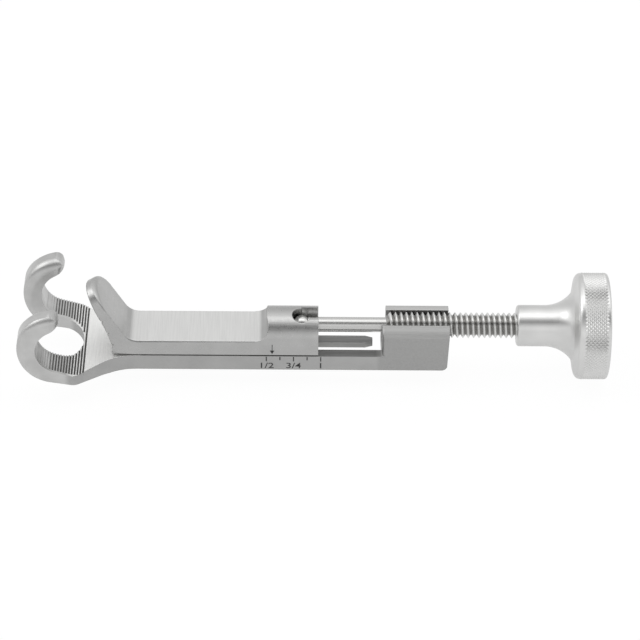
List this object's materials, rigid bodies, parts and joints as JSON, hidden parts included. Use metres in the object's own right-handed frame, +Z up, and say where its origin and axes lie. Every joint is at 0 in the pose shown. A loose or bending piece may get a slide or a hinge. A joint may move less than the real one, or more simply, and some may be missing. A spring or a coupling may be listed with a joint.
{
  "type": "bone holding forceps",
  "caption": "Steel bone holding forceps: a knurled knob and coarse screw push a sliding jaw along a forged frame towards curved hooks, and the screw lifts out of its open nut.",
  "frame": {"origin": "on the screw's axis, half way along the instrument", "axes": "+X from the hooks to the knob along the screw, +Z up out of the open nut, the scale on the -Y side"},
  "size_m": [0.137, 0.0292, 0.025],
  "materials": {
    "frame_steel": "satin",
    "jaw_steel": "satin",
    "foot_steel": "satin",
    "screw_steel": "semi-polished",
    "knob_steel": "satin, turned"
  },
  "bodies": {
    "frame_body": {"frame": "frame_steel"},
    "carriage": {"sliding_jaw": "jaw_steel", "guide_foot": "foot_steel", "foot_screws": "foot_steel"},
    "swivel": {"ball_end": "screw_steel"},
    "spindle": {"screw": "screw_steel", "knob": "knob_steel", "knob_pin": "knob_steel"}
  },
  "joints": [
    {"name": "jaw_slide", "type": "slide", "parent": "frame_body", "child": "carriage", "axis": [1, 0, 0], "range_m": [-0.0135, 0.0115]},
    {"name": "screw_lift", "type": "hinge", "parent": "carriage", "child": "swivel", "pos_m": [-0.00285, 0, 0], "axis": [0, -1, 0], "range_deg": [0, 60]},
    {"name": "screw_turn", "type": "hinge", "parent": "swivel", "child": "spindle", "pos_m": [-0.00285, 0, 0], "axis": [1, 0, 0], "range_deg": [-3830, 3263]}
  ],
  "couplings": [
    {"joint": "screw_turn", "follows": "jaw_slide", "rad_per_m": 4947.4}
  ]
}
